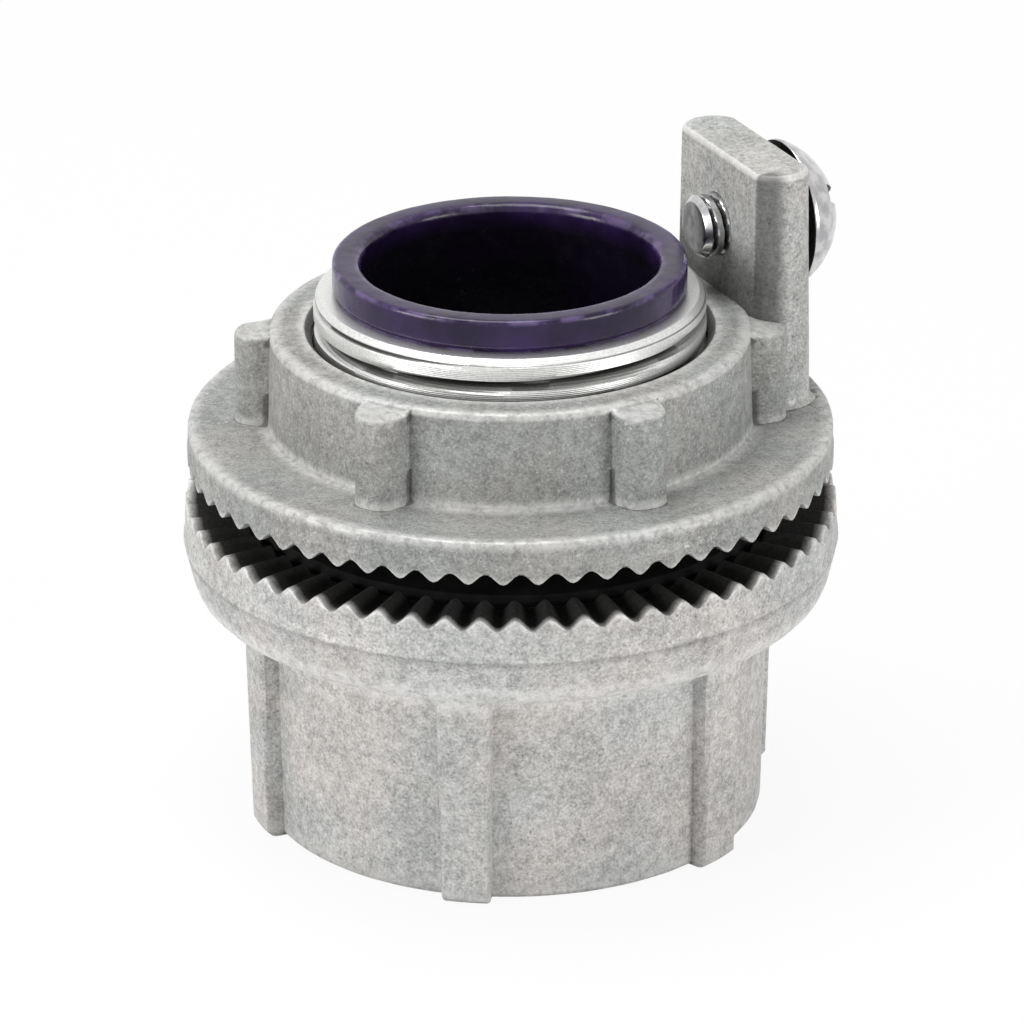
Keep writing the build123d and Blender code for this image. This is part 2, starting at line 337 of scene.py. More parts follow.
def bending_rule():
    """Tree that stores how sharply a piece bends at each point: above 0 on edges, below 0 in corners."""
    tree = bpy.data.node_groups.new("bend_marks", "GeometryNodeTree")
    tree.interface.new_socket("Mesh", in_out="INPUT", socket_type="NodeSocketGeometry")
    tree.interface.new_socket("Mesh", in_out="OUTPUT", socket_type="NodeSocketGeometry")
    given = add_node(tree, "NodeGroupInput").outputs
    stored = add_node(tree, "GeometryNodeStoreNamedAttribute", data_type="FLOAT", domain="POINT")
    stored.inputs["Name"].default_value = "bend"
    tree.links.new(given["Mesh"], stored.inputs["Geometry"])
    # A mark on the corner of a broad face would spread over that face, so such points get none
    broad = 0.4 * MM * MM
    area = add_node(tree, "GeometryNodeInputMeshFaceArea").outputs[0]
    near_small = math_of(tree, "LESS_THAN", area, broad)
    angle = add_node(tree, "GeometryNodeInputMeshEdgeAngle").outputs["Signed Angle"]
    tree.links.new(math_of(tree, "MULTIPLY", angle, near_small), stored.inputs["Value"])
    whole = add_node(tree, "GeometryNodeRealizeInstances")
    tree.links.new(stored.outputs["Geometry"], whole.inputs[0])
    result = add_node(tree, "NodeGroupOutput")
    tree.links.new(whole.outputs[0], result.inputs[0])
    return tree


bend_marks = bending_rule()


def rounded(corners, arc_steps=3):
    """Points of a closed outline. A corner is (radius, height, round, step to the next corner), in mm."""
    ends = []
    for index, (radius, height, rounding, step) in enumerate(corners):
        before = Vector(corners[index - 1][:2])
        after = Vector(corners[(index + 1) % len(corners)][:2])
        corner = Vector((radius, height))
        if rounding == 0:
            ends.append(([corner], step))
            continue
        start = corner + (before - corner).normalized() * rounding
        end = corner + (after - corner).normalized() * rounding
        arc = []
        for part in range(arc_steps + 1):
            t = part / arc_steps
            arc.append(start * (1 - t) ** 2 + corner * 2 * t * (1 - t) + end * t ** 2)
        ends.append((arc, step))
    points = []
    edges = []
    for index, (arc, step) in enumerate(ends):
        points.extend(arc)
        edges.extend([1.0 if len(arc) > 1 else 0.0] * len(arc))
        target = ends[(index + 1) % len(ends)][0][0]
        run = target - arc[-1]
        pieces = max(1, round(run.length / step))
        points.extend(arc[-1] + run * part / pieces for part in range(1, pieces))
        edges.extend([0.0] * (pieces - 1))
    return points, edges


def turn(name, corners, marks, finish, arc_steps=3, place=None, **sizes):
    """A round piece turned from an outline. marks gives each point's shares of the rule's features."""
    points, edges = rounded(corners, arc_steps)
    outline = bpy.data.meshes.new(name + "_outline")
    outline.from_pydata([(p.x * MM, 0.0, p.y * MM) for p in points], [], [])
    for mark in ("tooth", "reach", "rib_half", "rib_foot", "thread", "machined", "skin", "painted_shade"):
        layer = outline.attributes.new(mark, "FLOAT", "POINT")
        rule = marks.get(mark, lambda radius, height: 0.0)
        for index, p in enumerate(points):
            layer.data[index].value = rule(p.x, p.y)
    # Points on rounded corners get a painted edge highlight
    painted_edge_highlight = outline.attributes.new("painted_edge_highlight", "FLOAT", "POINT")
    painted_edge_highlight.data.foreach_set("value", edges)
    carrier = bpy.data.objects.new(name + "_outline", outline)
    bpy.context.scene.collection.objects.link(carrier)
    rule_modifier = carrier.modifiers.new("turning", "NODES")
    rule_modifier.node_group = turned_piece
    values = dict(sizes, Rows=len(points), Finish=finish)
    for item in turned_piece.interface.items_tree:
        if item.name in values:
            rule_modifier[item.identifier] = values[item.name]
    bpy.context.view_layer.update()
    settled = carrier.evaluated_get(bpy.context.evaluated_depsgraph_get())
    mesh = bpy.data.meshes.new_from_object(settled)
    bpy.data.objects.remove(carrier)
    mesh.name = name
    piece = bpy.data.objects.new(name, mesh)
    bpy.context.scene.collection.objects.link(piece)
    if place is not None:
        mesh.transform(place)
    if volume_of(mesh) < 0:
        mesh.flip_normals()
    return piece


def settle(piece):
    """Replaces a piece's mesh by what its modifiers make of it."""
    bpy.context.view_layer.update()
    settled = piece.evaluated_get(bpy.context.evaluated_depsgraph_get())
    mesh = bpy.data.meshes.new_from_object(settled)
    mesh.name = piece.name
    piece.modifiers.clear()
    piece.data = mesh


def mark_bends(piece):
    piece.modifiers.new("bends", "NODES").node_group = bend_marks
    settle(piece)


def volume_of(mesh):
    """Signed volume of a closed mesh, negative if its faces point inwards."""
    mesh.calc_loop_triangles()
    total = 0.0
    for triangle in mesh.loop_triangles:
        a, b, c = (mesh.vertices[i].co for i in triangle.vertices)
        total += a.dot(b.cross(c)) / 6
    return total


def smooth(piece, degrees):
    """Soft shading over every edge that bends by less than the angle."""
    bpy.context.view_layer.objects.active = piece
    for other in bpy.context.selected_objects:
        other.select_set(False)
    piece.select_set(True)
    bpy.ops.object.shade_smooth_by_angle(angle=math.radians(degrees))
    piece.select_set(False)
    even = piece.modifiers.new("even", "WEIGHTED_NORMAL")
    even.keep_sharp = True
    settle(piece)


def new_material(name):
    """A material with its tree, its Principled node and the place on the object that it colours."""
    material = bpy.data.materials.new(name)
    material.use_nodes = True
    tree = material.node_tree
    place = add_node(tree, "ShaderNodeTexCoord").outputs["Object"]
    return material, tree, tree.nodes["Principled BSDF"], place


def mesh_mark(tree, name):
    """What a piece's mesh stores under a name."""
    return add_node(tree, "ShaderNodeAttribute", attribute_name=name).outputs["Fac"]


def noise_of(tree, place, scale, detail=3.0, roughness=0.55, distortion=0.0):
    made = add_node(tree, "ShaderNodeTexNoise")
    made.inputs["Distortion"].default_value = distortion
    tree.links.new(place, made.inputs["Vector"])
    made.inputs["Scale"].default_value = scale
    made.inputs["Detail"].default_value = detail
    made.inputs["Roughness"].default_value = roughness
    return made.outputs[0]


def mix_colours(tree, share, first, second):
    made = add_node(tree, "ShaderNodeMix", data_type="RGBA")
    feed(tree, made.inputs[0], share)
    feed(tree, made.inputs[6], first)
    feed(tree, made.inputs[7], second)
    return made.outputs[2]


def mix_numbers(tree, share, first, second):
    made = add_node(tree, "ShaderNodeMix", data_type="FLOAT")
    feed(tree, made.inputs[0], share)
    feed(tree, made.inputs[2], first)
    feed(tree, made.inputs[3], second)
    return made.outputs[0]


def cast_skin(name, dark, light, marked=True):
    """Die-cast zinc: fine speckle and soft clouds in its grey, pits, and bright where it was machined."""
    material, tree, body, place = new_material(name)
    clouds = noise_of(tree, place, 170.0, 3.0)
    mottles = noise_of(tree, place, 1200.0, 3.0, 0.6)
    speckle = noise_of(tree, place, 4200.0, 2.0, 0.7)
    cloudy = math_of(tree, "MULTIPLY", math_of(tree, "SUBTRACT", clouds, 0.5), 0.6)
    patchy = math_of(tree, "SUBTRACT", mottles, 0.5)
    grainy = math_of(tree, "MULTIPLY", math_of(tree, "SUBTRACT", speckle, 0.5), 1.5)
    tone = math_of(tree, "ADD", cloudy, patchy)
    tone = math_of(tree, "ADD", tone, math_of(tree, "ADD", grainy, 0.5))
    clean = ramp_between(tree, tone, -0.15, 1.15)
    skin_colour = mix_colours(tree, clean, dark, light)

    # Short bright streaks and small dark dents, and a tinge that drifts from warm to cool
    streaks = noise_of(tree, place, 1900.0, 2.0, 0.5, 2.2)
    streak = math_of(tree, "MULTIPLY", ramp_between(tree, streaks, 0.6, 0.72), 0.32)
    skin_colour = mix_colours(tree, streak, skin_colour, (0.86, 0.855, 0.84, 1.0))
    dents = ramp_between(tree, streaks, 0.4, 0.28, 0.0, 0.3)
    skin_colour = mix_colours(tree, dents, skin_colour, (0.2, 0.198, 0.192, 1.0))
    tinge = ramp_between(tree, noise_of(tree, place, 90.0, 2.0), 0.35, 0.65)
    tinges = mix_colours(tree, tinge, (0.97, 1.0, 1.0, 1.0), (1.0, 0.975, 0.96, 1.0))
    tinged = add_node(tree, "ShaderNodeMix", data_type="RGBA", blend_type="MULTIPLY")
    tinged.inputs[0].default_value = 1.0
    tree.links.new(skin_colour, tinged.inputs[6])
    tree.links.new(tinges, tinged.inputs[7])
    skin_colour = tinged.outputs[2]

    cells = add_node(tree, "ShaderNodeTexVoronoi", feature="F1")
    tree.links.new(place, cells.inputs["Vector"])
    cells.inputs["Scale"].default_value = 1300.0
    few = ramp_between(tree, noise_of(tree, place, 420.0, 1.0), 0.5, 0.6)
    pit = math_of(tree, "MULTIPLY", ramp_between(tree, cells.outputs["Distance"], 0.1, 0.24, 1.0, 0.0), few)
    pitted = mix_colours(tree, math_of(tree, "MULTIPLY", pit, 0.5), skin_colour, (0.12, 0.12, 0.115, 1.0))

    # Painted highlights make edges brighter than the skin, and painted shade makes corners and
    # recesses darker, from the marks stored in the mesh. The painted shade is set for the parts at rest
    # and is no real shadow: it stays dark in every pose. A piece with broad plain faces goes without the
    # marks.
    plain = add_node(tree, "ShaderNodeValue").outputs[0]
    plain.default_value = 0.0
    bend = edge_row_highlight = painted_shade = mark = plain
    if marked:
        bend = mesh_mark(tree, "bend")
        edge_row_highlight = mesh_mark(tree, "painted_edge_highlight")
        painted_shade = mesh_mark(tree, "painted_shade")
        mark = mesh_mark(tree, "machined")
    # Painted highlight on sharp edges and on the rows of rounded corners
    sharp = ramp_between(tree, bend, 0.12, 0.6, 0.0, 0.3)
    edge_highlight_share = math_of(tree, "MAXIMUM", sharp, math_of(tree, "MULTIPLY", edge_row_highlight, 0.4))
    edge_highlight_share = math_of(tree, "MULTIPLY", edge_highlight_share, ramp_between(tree, mottles, 0.3, 0.6, 0.45, 1.0))
    brightened = mix_colours(tree, edge_highlight_share, pitted, (0.84, 0.83, 0.81, 1.0))
    painted_corner_shade = ramp_between(tree, bend, -0.5, -0.15, 0.6, 0.0)
    darkened = math_of(tree, "MAXIMUM", painted_corner_shade, painted_shade)
    shaded = mix_colours(tree, darkened, brightened, (0.02, 0.02, 0.019, 1.0))
    bright = mix_colours(tree, speckle, (0.5, 0.5, 0.49, 1.0), (0.95, 0.95, 0.93, 1.0))
    bright = mix_colours(tree, math_of(tree, "MULTIPLY", painted_corner_shade, 0.8), bright, (0.05, 0.05, 0.048, 1.0))
    bright = mix_colours(tree, painted_shade, bright, (0.03, 0.03, 0.028, 1.0))
    tree.links.new(mix_colours(tree, mark, shaded, bright), body.inputs["Base Color"])
    unshaded_share = math_of(tree, "SUBTRACT", 1.0, painted_shade)
    tree.links.new(math_of(tree, "MULTIPLY", unshaded_share, 0.4), body.inputs["Specular IOR Level"])
    solid = math_of(tree, "MULTIPLY", unshaded_share, 0.2)
    tree.links.new(mix_numbers(tree, mark, solid, 0.85), body.inputs["Metallic"])

    dull = ramp_between(tree, mottles, 0.3, 0.7, 0.62, 0.46)
    tree.links.new(mix_numbers(tree, mark, dull, 0.36), body.inputs["Roughness"])
    coarse = math_of(tree, "MULTIPLY", mottles, 0.5)
    relief = math_of(tree, "ADD", coarse, math_of(tree, "MULTIPLY", speckle, 0.4))
    relief = math_of(tree, "SUBTRACT", relief, math_of(tree, "MULTIPLY", pit, 0.6))
    bump = add_node(tree, "ShaderNodeBump")
    bump.inputs["Strength"].default_value = 0.5
    bump.inputs["Distance"].default_value = 0.00012
    # Turning leaves fine rings, one above the other, where the metal was machined
    level = add_node(tree, "ShaderNodeSeparateXYZ")
    tree.links.new(place, level.inputs[0])
    rings = math_of(tree, "SINE", math_of(tree, "MULTIPLY", level.outputs["Z"], 40000.0))
    ringed = math_of(tree, "MULTIPLY", rings, 0.12)
    turned = math_of(tree, "ADD", ringed, math_of(tree, "MULTIPLY", speckle, 0.3))
    tree.links.new(mix_numbers(tree, mark, relief, turned), bump.inputs["Height"])
    tree.links.new(bump.outputs[0], body.inputs["Normal"])
    return material


# Hub body: the lower casting, with six wrench ribs, its toothed flange and the threaded spigot.
# The spigot and the conduit socket are machined after casting, so their metal is bright.
spigot_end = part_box("hub_body")[1].z / MM
body_radius = 21.8
body_top_radius = 22.2
body_height = 18.9
flange_radius = 28.2
flange_tip = 28.5
mould_line = 24.9
band_inner = 23.45
groove_radius = 22.8
groove_floor = 26.2
thread_radius = 16.7
socket_radius = 15.15
socket_depth = 18.5
throat_seat_radius = 14.25
throat_seat = 31.85
passage_radius = 13.3
rib_rise = 1.5
rib_half_width = 2.05
rib_half_flare = 0.25
rib_lean = 0.4
rib_turn = math.radians(20.0)
hub_tooth_turn = math.radians(0.7)
spigot_thread_foot = 29.0
machined_from = 33.0
on_wall = 0.02
thread_step = 0.3
thread_depth = 1.25
thread_turn = 0.45
hub_corners = [
    (16.55, 0.0, 0.15, 1.4),
    (21.75, 0.0, 0.5, 1.3),
    (body_top_radius, body_height, 0.4, 1.3),
    (27.2, 20.5, 1.3, 0.8),
    (flange_radius - 0.04, mould_line - 0.25, 0, 0.3),
    (flange_radius, mould_line - 0.08, 0, 0.3),
    (flange_radius, mould_line + 0.08, 0, 0.3),
    (flange_radius - 0.09, mould_line + 0.25, 0, 0.55),
    (flange_radius - 0.25, flange_tip, 0.22, 0.8),
    (band_inner, flange_tip, 0.2, 0.4),
    (band_inner, flange_tip - tooth_depth, 0, 0.5),
    (groove_radius, flange_tip - tooth_depth, 0, 0.8),
    (groove_radius, groove_floor, 0, 2.5),
    (thread_radius, groove_floor, 0, 1.2),
    (thread_radius, spigot_thread_foot + 0.2, 0, thread_step),
    (thread_radius, spigot_end - 0.6, 0, 0.12),
    (thread_radius - 0.12, spigot_end - 0.5, 0, 0.12),
    (thread_radius - 0.6, spigot_end, 0.1, 1.0),
    (throat_seat_radius, spigot_end, 0, 6.0),
    (throat_seat_radius, throat_seat, 0, 0.6),
    (passage_radius, throat_seat, 0, 5.0),
    (passage_radius, socket_depth + 1.0, 0.3, 1.2),
    (socket_radius, socket_depth, 0, 0.5),
    (socket_radius, 1.3, 0, 0.4),
]


def hub_tooth(radius, height):
    if radius < band_inner - 0.05:
        return 0.0
    return min(max((height - flange_tip + tooth_depth) / tooth_depth, 0.0), 1.0)


def hub_thread(radius, height):
    """Threads that grow from nothing at their ends: cut into the spigot and into the socket's wall."""
    if abs(radius - thread_radius) < on_wall and spigot_thread_foot < height < spigot_end - 0.55:
        return -min(1.0, (height - spigot_thread_foot) / 1.5)
    if abs(radius - socket_radius) < on_wall and height < socket_depth:
        return min(1.0, (socket_depth - height) / 3.0, (height - 1.0) / 0.5)
    return 0.0


def hub_machined(radius, height):
    on_spigot = radius < thread_radius + 0.1 and height > machined_from
    in_socket = radius < 16.6 and height < socket_depth + 1.5
    return 1.0 if on_spigot else 0.5 if in_socket else 0.0


def hub_painted_shade(radius, height):
    """Painted shade on the inner ends of the teeth, the groove's edge and the spigot's foot, and two painted
    dark lines.
    """
    if radius > 20.0 and height < 0.8:
        return 0.35 * (1 - height / 0.8)
    if radius > 27.0 and mould_line - 0.6 < height < mould_line - 0.1:
        return 0.3
    if height < groove_floor - 0.1 or radius < throat_seat_radius + 0.1:
        return 0.0
    if radius > 20.0:
        return min(max((flange_radius - 0.4 - radius) / 0.9, 0.0), 0.94)
    if abs(height - spigot_end + 0.5) < 0.06:
        return 0.8
    return 0.9 if height < machined_from else 0.0


def hub_painted_highlight(radius, height):
    """Painted highlight on the teeth's outer edges."""
    return 2.0 if height > flange_tip - 0.25 and radius > flange_radius - 0.6 else 0.0


def hub_reach(radius, height):
    """How far out a wrench rib's face stands, with a bevel at the bottom face."""
    if radius < 20.0 or height > 20.0:
        return 0.0
    bevel = max(0.5 - height, 0.0)
    return (body_radius + rib_rise + rib_lean * height / body_height - bevel) * MM


hub_marks = {
    "tooth": hub_tooth,
    "thread": hub_thread,
    "machined": hub_machined,
    "painted_shade": hub_painted_shade,
    "painted_edge_highlight": hub_painted_highlight,
    "reach": hub_reach,
    "rib_half": lambda radius, height: (rib_half_width + rib_half_flare * height / body_height) * MM,
    "rib_foot": lambda radius, height: body_radius * MM,
    "skin": lambda radius, height: 1.0 if radius > 18.0 else 0.0,
}
hub_skin = cast_skin("hub_casting", (0.25, 0.246, 0.24, 1.0), (0.72, 0.708, 0.695, 1.0))
hub_piece = turn(
    "hub_casting",
    hub_corners,
    hub_marks,
    hub_skin,
    Columns=cast_columns,
    Teeth=float(tooth_count),
    **{
        "Tooth Depth": tooth_depth * MM,
        "Tooth Turn": hub_tooth_turn,
        "Thread Pitch": pipe_pitch * MM,
        "Thread Depth": thread_depth * MM,
        "Thread Turn": thread_turn,
        "Ribs": 6.0,
        "Rib Turn": rib_turn,
        "Rib Corner": 0.3 * MM,
        "Skin Height": 0.05 * MM,
        "Skin Scale": 420.0,
    },
)
mark_bends(hub_piece)
smooth(hub_piece, 38)
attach(hub_piece, "hub")
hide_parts("hub_body")


# Sealing ring: black rubber that lies loose in the hub flange's groove.
# It keeps the solid's shape and gets only its material here.
rubber, rubber_tree, rubber_body, rubber_place = new_material("ring_rubber")
rubber_bloom = noise_of(rubber_tree, rubber_place, 500.0)
bloom = ramp_between(rubber_tree, rubber_bloom, 0.35, 0.75)
rubber_dark = (0.006, 0.006, 0.006, 1.0)
rubber_light = (0.016, 0.016, 0.015, 1.0)
rubber_colour = mix_colours(rubber_tree, bloom, rubber_dark, rubber_light)
rubber_tree.links.new(rubber_colour, rubber_body.inputs["Base Color"])
rubber_body.inputs["Specular IOR Level"].default_value = 0.15
rubber_dull = ramp_between(rubber_tree, rubber_bloom, 0.3, 0.7, 0.55, 0.75)
rubber_tree.links.new(rubber_dull, rubber_body.inputs["Roughness"])
ring_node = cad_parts["sealing_ring"]
ring_node.data.materials.clear()
ring_node.data.materials.append(rubber)


# Insulating throat: dark purple plastic, moulded glossy, pressed into the spigot's end.
# Its lip has slight waves and scuffed edges with a painted lavender highlight, and its bore has painted
# shade.
throat_radius = 12.6
throat_wall = 1.6
lip_radius = 15.1
tube_foot, lip_top = (corner.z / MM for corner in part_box("insulating_throat"))
throat_corners = [
    (throat_radius, lip_top, 0.9, 1.5),
    (throat_radius, tube_foot, 0.1, 0.8),
    (throat_radius + throat_wall, tube_foot, 0.1, 3.0),
    (throat_radius + throat_wall, spigot_end, 0, 0.4),
    (lip_radius - 0.5, spigot_end, 0, 0.3),
    (lip_radius, spigot_end + 0.55, 0.15, 0.4),
    (lip_radius, lip_top, 0.5, 0.5),
]
purple, purple_tree, purple_body, purple_place = new_material("throat_plastic")
purple_cloud = ramp_between(purple_tree, noise_of(purple_tree, purple_place, 160.0), 0.35, 0.65)
purple_dark = (0.012, 0.006, 0.028, 1.0)
purple_light = (0.03, 0.014, 0.07, 1.0)
purple_colour = mix_colours(purple_tree, purple_cloud, purple_dark, purple_light)
edge_highlight_and_scuffs = ramp_between(purple_tree, mesh_mark(purple_tree, "bend"), 0.05, 0.3, 0.0, 0.55)
scuffs = ramp_between(purple_tree, noise_of(purple_tree, purple_place, 420.0), 0.42, 0.62)
edge_highlight_and_scuffs = math_of(purple_tree, "MULTIPLY", edge_highlight_and_scuffs, scuffs)
purple_colour = mix_colours(purple_tree, edge_highlight_and_scuffs, purple_colour, (0.27, 0.2, 0.4, 1.0))
bore_painted_shade = mesh_mark(purple_tree, "painted_shade")
purple_colour = mix_colours(purple_tree, bore_painted_shade, purple_colour, (0.004, 0.004, 0.004, 1.0))
purple_tree.links.new(purple_colour, purple_body.inputs["Base Color"])
purple_body.inputs["Specular IOR Level"].default_value = 0.3
gloss = ramp_between(purple_tree, noise_of(purple_tree, purple_place, 900.0), 0.3, 0.7, 0.14, 0.28)
purple_tree.links.new(gloss, purple_body.inputs["Roughness"])
purple_bump = add_node(purple_tree, "ShaderNodeBump")
purple_bump.inputs["Strength"].default_value = 0.35
purple_bump.inputs["Distance"].default_value = 0.0002
purple_tree.links.new(noise_of(purple_tree, purple_place, 380.0), purple_bump.inputs["Height"])
purple_tree.links.new(purple_bump.outputs[0], purple_body.inputs["Normal"])


# Painted shade in the bore, below its mouth
def throat_painted_shade(radius, height):
    return 0.85 if radius < throat_radius + 0.1 and height < lip_top - 1.2 else 0.0


throat_piece = turn(
    "throat",
    throat_corners,
    {
        "skin": lambda radius, height: 1.0 if height > spigot_end + 0.3 else 0.0,
        "painted_shade": throat_painted_shade,
    },
    purple,
    arc_steps=5,
    Columns=256,
    **{"Skin Height": 0.06 * MM, "Skin Scale": 700.0},
)
mark_bends(throat_piece)
smooth(throat_piece, 40)
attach(throat_piece, "hub")
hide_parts("insulating_throat")


# Lock nut: the upper casting, with its toothed flange, a ring of six wrench lugs and the ground post.
# The post stands on the flange beside the ring and carries the ground screw.
nut_low, nut_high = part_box("lock_nut")
nut_tip = nut_low.z / MM
nut_flange_thickness = 3.8
nut_ring_height = 8.4
nut_tooth_turn = math.radians(-1.35)
nut_root = nut_tip + tooth_depth
nut_top = nut_tip + nut_flange_thickness
nut_radius = 27.7
nut_band_inner = 23.45
nut_bore = 16.85
nut_ring = 20.8
nut_ring_top = nut_top + nut_ring_height
lug_rise = 2.7
lug_half_width = 2.25
lug_top_round = 0.75
nut_corners = [
    (nut_bore + 0.7, nut_root, 0.1, 2.0),
    (nut_band_inner, nut_root, 0, 0.5),
    (nut_band_inner, nut_tip, 0.2, 0.8),
    (nut_radius, nut_tip, 0.2, 0.5),
    (nut_radius, nut_root + 0.55, 0, 0.2),
    (nut_radius, nut_root + 0.7, 0, 0.2),
    (nut_radius - 0.06, nut_root + 0.85, 0, 0.5),
    (nut_radius - 0.1, nut_top, 0.45, 0.9),
    (nut_ring, nut_top, 0.35, 0.6),
    (nut_ring - 0.25, nut_ring_top - 0.95, 0, 0.22),
    (nut_ring - 0.3, nut_ring_top, 0.5, 0.7),
    (nut_bore + 0.7, nut_ring_top, 0.15, 0.4),
    (nut_bore, nut_ring_top - 0.7, 0, thread_step),
    (nut_bore, nut_root + 0.7, 0, 0.4),
]


def nut_tooth(radius, height):
    if radius < nut_band_inner - 0.05:
        return 0.0
    return -min(max((nut_root - height) / tooth_depth, 0.0), 1.0)


def nut_thread(radius, height):
    if abs(radius - nut_bore) > on_wall:
        return 0.0
    return min(1.0, (nut_ring_top - 0.7 - height) / 0.4 + 0.1, (height - nut_root - 0.7) / 0.4 + 0.1)


def nut_lug(radius, height):
    """How far out a lug's face stands: flat just under the ring's top, with a round upper edge."""
    on_flange = height < nut_top + 0.02 and radius < nut_ring + lug_rise + 0.2
    below_top = nut_ring_top - 0.3 - height
    if radius < nut_ring - 0.6 or height < nut_top - 0.02 or below_top <= 0:
        return 0.0
    if radius > nut_ring + 0.4 and not on_flange:
        return 0.0
    edge = min(below_top / lug_top_round, 1.0)
    foot_flare = 0.12 * max(1 - (height - nut_top) / 1.2, 0.0)
    fall = lug_top_round * (1 - math.sqrt(1 - (1 - edge) ** 2))
    return (nut_ring + lug_rise - fall + foot_flare) * MM


def nut_painted_shade(radius, height):
    """Painted shade: the teeth's inner ends and the thread's mouth; a painted dark line under the rim's
    edge.
    """
    if height < nut_root + 0.1:
        return min(max((nut_radius - 0.5 - radius) / 0.9, 0.0), 0.9)
    if radius < nut_bore + 0.6:
        return 0.75
    return 0.25 if radius > nut_radius - 0.2 and abs(height - nut_top + 0.7) < 0.2 else 0.0


def nut_machined(radius, height):
    return 0.6 if radius < nut_bore + 0.2 and height < nut_ring_top - 2.0 else 0.0


def nut_painted_highlight(radius, height):
    """A painted highlight round the flange's upper edge."""
    return 1.0 if radius > nut_radius - 0.5 and abs(height - nut_top + 0.15) < 0.2 else 0.0


nut_marks = {
    "tooth": nut_tooth,
    "thread": nut_thread,
    "reach": nut_lug,
    "rib_half": lambda radius, height: lug_half_width * MM,
    "rib_foot": lambda radius, height: nut_ring * MM,
    "machined": nut_machined,
    "painted_shade": nut_painted_shade,
    "painted_edge_highlight": nut_painted_highlight,
    "skin": lambda radius, height: 1.0 if radius > nut_bore + 0.8 else 0.0,
}
# The nut's skin is a darker copy of the same cast grey: painted shade
nut_shaded_dark = (0.165, 0.166, 0.16, 1.0)
nut_shaded_light = (0.445, 0.445, 0.43, 1.0)
nut_skin = cast_skin("nut_casting", nut_shaded_dark, nut_shaded_light)
nut_turned = turn(
    "nut_casting",
    nut_corners,
    nut_marks,
    nut_skin,
    Columns=cast_columns,
    Teeth=float(tooth_count),
    **{
        "Tooth Depth": tooth_depth * MM,
        "Tooth Turn": nut_tooth_turn,
        "Thread Pitch": pipe_pitch * MM,
        "Thread Depth": thread_depth * MM,
        "Thread Turn": thread_turn + 0.5,
        "Ribs": 6.0,
        "Rib Turn": 0.0,
        "Rib Corner": 1.9 * MM,
        "Skin Height": 0.06 * MM,
        "Skin Scale": 380.0,
    },
)

post_angle = math.radians(25.0)
post_distance = 19.7
post_thickness = 5.1
post_width = 17.0
post_top = nut_high.z / MM
screw_drop = 6.7
screw_axis_height = post_top - screw_drop
screw_hole = 2.77
post_end_bulge = 1.6
post_spread = 0.3
foot_round = 0.7
post_rings = [(nut_root + 0.8, post_spread + 0.6), (nut_top - 0.03, post_spread + 0.52)]
for rise in (0.04, 0.1, 0.2, 0.32, 0.5, 0.7):
    inset = foot_round - math.sqrt(foot_round ** 2 - (foot_round - rise) ** 2)
    post_rings.append((nut_top + rise, post_spread + inset))
post_rings += [
    (nut_top + 6.0, 0.22),
    (nut_top + 12.0, 0.12),
    (post_top - 0.45, 0.0),
    (post_top - 0.2, -0.06),
    (post_top - 0.05, -0.2),
    (post_top, -0.42),
]
end_steps = 14
to_post = Matrix.Rotation(post_angle, 4, "Z")


def post_plan(spread):
    """Points of the post's plan, a bar with bulging ends across the X axis, as (x, y) in mm."""
    half = post_thickness / 2 + spread
    bulge = post_end_bulge + spread / 2
    reach = (half ** 2 + bulge ** 2) / (2 * bulge)
    widest = math.asin(half / reach)
    middle = post_distance + post_thickness / 2
    straight = post_width / 2 - post_end_bulge + spread / 2
    points = []
    for end in (1, -1):
        for part in range(end_steps + 1):
            around = widest * (1 - 2 * part / end_steps)
            out = reach * math.cos(around) - reach + bulge
            points.append((middle + end * reach * math.sin(around), end * (straight + out)))
    return points


post_points = []
post_faces = []
around_count = 2 * (end_steps + 1)
for height, spread in post_rings:
    post_points += [(x * MM, y * MM, height * MM) for x, y in post_plan(spread)]
for ring in range(len(post_rings) - 1):
    for step in range(around_count):
        following = (step + 1) % around_count
        low = ring * around_count
        high = low + around_count
        post_faces.append((low + step, low + following, high + following, high + step))
post_faces.append(tuple(reversed(range(around_count))))
last = (len(post_rings) - 1) * around_count
post_faces.append(tuple(range(last, last + around_count)))
post_mesh = bpy.data.meshes.new("post")
post_mesh.from_pydata(post_points, [], post_faces)
# The post's skin, of the same casting as the nut, is a lighter copy of its grey: painted light
post_lit_dark = (0.2, 0.2, 0.193, 1.0)
post_lit_light = (0.66, 0.655, 0.635, 1.0)
post_skin = cast_skin("post_casting", post_lit_dark, post_lit_light, marked=False)
post_mesh.materials.append(post_skin)

# The post's skin has a painted highlight round its top edge, and painted shade low on the face towards
# the spigot and beside that face's near edge, set for the post at rest.
post_tree = post_skin.node_tree
post_body = post_tree.nodes["Principled BSDF"]
post_colour = post_body.inputs["Base Color"].links[0].from_socket
post_place = add_node(post_tree, "ShaderNodeSeparateXYZ")
turned_back = add_node(post_tree, "ShaderNodeVectorRotate", rotation_type="Z_AXIS")
turned_back.inputs["Angle"].default_value = -post_angle
post_spot = add_node(post_tree, "ShaderNodeTexCoord").outputs["Object"]
post_tree.links.new(post_spot, turned_back.inputs["Vector"])
post_tree.links.new(turned_back.outputs[0], post_place.inputs[0])
outwards = math_of(post_tree, "DIVIDE", post_place.outputs["X"], MM)
across = math_of(post_tree, "DIVIDE", post_place.outputs["Y"], MM)
height_up = math_of(post_tree, "DIVIDE", post_place.outputs["Z"], MM)
top_highlight_from = ramp_between(post_tree, height_up, post_top - 0.65, post_top - 0.4)
top_highlight_to = ramp_between(post_tree, height_up, post_top - 0.04, post_top - 0.01, 1.0, 0.0)
top_edge_highlight = math_of(post_tree, "MULTIPLY", math_of(post_tree, "MULTIPLY", top_highlight_from, top_highlight_to), 0.5)
